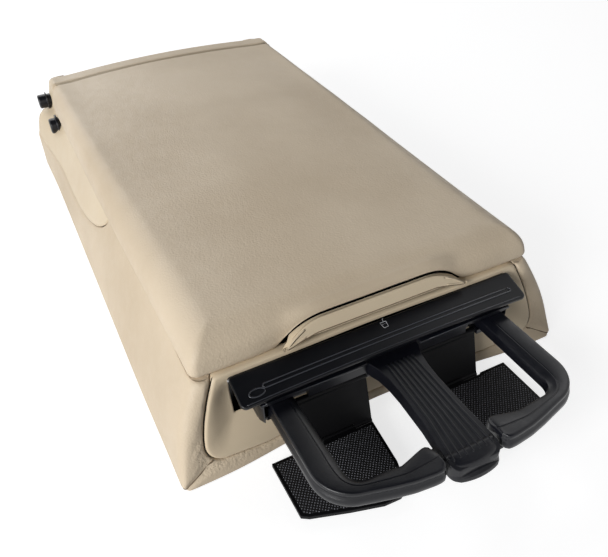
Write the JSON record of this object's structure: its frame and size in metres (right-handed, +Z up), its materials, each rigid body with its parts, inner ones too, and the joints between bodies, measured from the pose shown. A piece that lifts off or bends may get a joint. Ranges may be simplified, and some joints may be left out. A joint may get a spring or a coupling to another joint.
{
  "type": "fold-down armrest",
  "caption": "Padded rear-seat armrest that folds down on side pins, with a hinged storage lid, a latch handle and a slide-out double cup holder.",
  "frame": {"origin": "middle of the box around the armrest, on the plane of its flat underside", "axes": "+X across the seat to the armrest's right seen from the cup holder, +Y from the cup holder back to the seat hinge, +Z up"},
  "size_m": [0.2676, 0.5295, 0.089],
  "materials": {
    "beige_leather": "fine pebbled grain, satin, padded",
    "beige_plastic": "fine moulded grain, matt",
    "black_plastic": "satin moulded black",
    "black_satin": "smooth semi-gloss black",
    "gear_plastic": "natural moulded",
    "mat_rubber": "black rubber with a woven texture",
    "steel": "zinc-plated steel",
    "brass": "bright brass rivet",
    "buffer_rubber": "soft black rubber"
  },
  "bodies": {
    "base": {"lower_cover": "beige_leather", "tub": "black_plastic", "bezel": "beige_plastic", "cup_housing": "black_plastic", "front_shelf": "black_plastic", "striker": "steel", "side_panel_left": "beige_plastic", "side_panel_right": "beige_plastic", "rear_strip": "beige_leather", "rear_closure": "beige_plastic", "pivot_bracket_left": "steel", "pivot_bracket_right": "steel", "pivot_pin_left": "black_plastic", "pivot_pin_right": "black_plastic", "guide_pin_left": "black_plastic", "guide_pin_right": "black_plastic", "bracket_screws": "steel", "shelf_screws": "steel", "push_catch": "black_satin", "hinge_leaf_base": "steel", "lid_hinge_pin": "steel"},
    "lid": {"hinge_leaf_lid": "steel", "lid_board": "black_plastic", "lid_pad": "beige_leather", "lid_buffers": "buffer_rubber", "latch_pin": "steel", "latch_spring": "steel"},
    "handle": {"latch_handle": "beige_plastic"},
    "flap": {"flap": "black_satin", "flap_pin_left": "steel", "flap_pin_right": "steel"},
    "carriage": {"carriage": "black_plastic", "centre_arm": "black_plastic", "damper_body": "black_satin", "arm_pin_left": "brass", "arm_pin_right": "brass", "arm_spring_left": "steel", "arm_spring_right": "steel", "link_pin_left": "steel", "link_pin_right": "steel"},
    "damper": {"damper_gear": "gear_plastic"},
    "left_arm": {"arm_left": "black_plastic"},
    "right_arm": {"arm_right": "black_plastic"},
    "left_link": {"rest_link_left": "black_plastic", "plate_pin_left": "steel"},
    "right_link": {"rest_link_right": "black_plastic", "plate_pin_right": "steel"},
    "left_plate": {"rest_plate_left": "black_plastic", "rest_mat_left": "mat_rubber"},
    "right_plate": {"rest_plate_right": "black_plastic", "rest_mat_right": "mat_rubber"}
  },
  "joints": [
    {"name": "lid_hinge", "type": "hinge", "parent": "base", "child": "lid", "pos_m": [0, 0.2305, 0.085], "axis": [-1, 0, 0], "range_deg": [0, 75]},
    {"name": "latch_pull", "type": "hinge", "parent": "lid", "child": "handle", "pos_m": [0, -0.1545, 0.071], "axis": [-1, 0, 0], "range_deg": [0, 10], "stiffness_Nm_per_rad": 0.4, "springref_deg": -17.19},
    {"name": "flap_swing", "type": "hinge", "parent": "base", "child": "flap", "pos_m": [0, -0.1665, 0.0563], "axis": [-1, 0, 0], "range_deg": [0, 12], "stiffness_Nm_per_rad": 0.03, "springref_deg": -34.38},
    {"name": "cup_slide", "type": "slide", "parent": "base", "child": "carriage", "axis": [0, 1, 0], "range_m": [0, 0.01], "stiffness_N_per_m": 60, "springref_m": -0.06},
    {"name": "damper_spin", "type": "hinge", "parent": "carriage", "child": "damper", "pos_m": [0.079, -0.1175, 0.042], "axis": [0, 0, 1], "range_deg": [-96, 0]},
    {"name": "arm_left_swing", "type": "hinge", "parent": "carriage", "child": "left_arm", "pos_m": [-0.0706, -0.1765, 0.0424], "axis": [0, 0, -1], "range_deg": [0, 12], "stiffness_Nm_per_rad": 0.08, "springref_deg": -14.32},
    {"name": "arm_right_swing", "type": "hinge", "parent": "carriage", "child": "right_arm", "pos_m": [0.0706, -0.1765, 0.0424], "axis": [0, 0, 1], "range_deg": [0, 12], "stiffness_Nm_per_rad": 0.08, "springref_deg": -14.32},
    {"name": "rest_left_fold", "type": "hinge", "parent": "carriage", "child": "left_link", "pos_m": [-0.039, -0.1815, 0.0356], "axis": [-1, 0, 0], "range_deg": [0, 75]},
    {"name": "rest_right_fold", "type": "hinge", "parent": "carriage", "child": "right_link", "pos_m": [0.039, -0.1815, 0.0356], "axis": [-1, 0, 0], "range_deg": [0, 75]},
    {"name": "plate_left_fold", "type": "hinge", "parent": "left_link", "child": "left_plate", "pos_m": [-0.039, -0.1901, 0.0044], "axis": [1, 0, 0], "range_deg": [0, 75]},
    {"name": "plate_right_fold", "type": "hinge", "parent": "right_link", "child": "right_plate", "pos_m": [0.039, -0.1901, 0.0044], "axis": [1, 0, 0], "range_deg": [0, 75]}
  ],
  "couplings": [
    {"joint": "damper_spin", "follows": "cup_slide", "rad_per_m": -166.67},
    {"joint": "rest_left_fold", "follows": "cup_slide", "rad_per_m": 130},
    {"joint": "rest_right_fold", "follows": "cup_slide", "rad_per_m": 130},
    {"joint": "plate_left_fold", "follows": "cup_slide", "rad_per_m": 130},
    {"joint": "plate_right_fold", "follows": "cup_slide", "rad_per_m": 130}
  ]
}
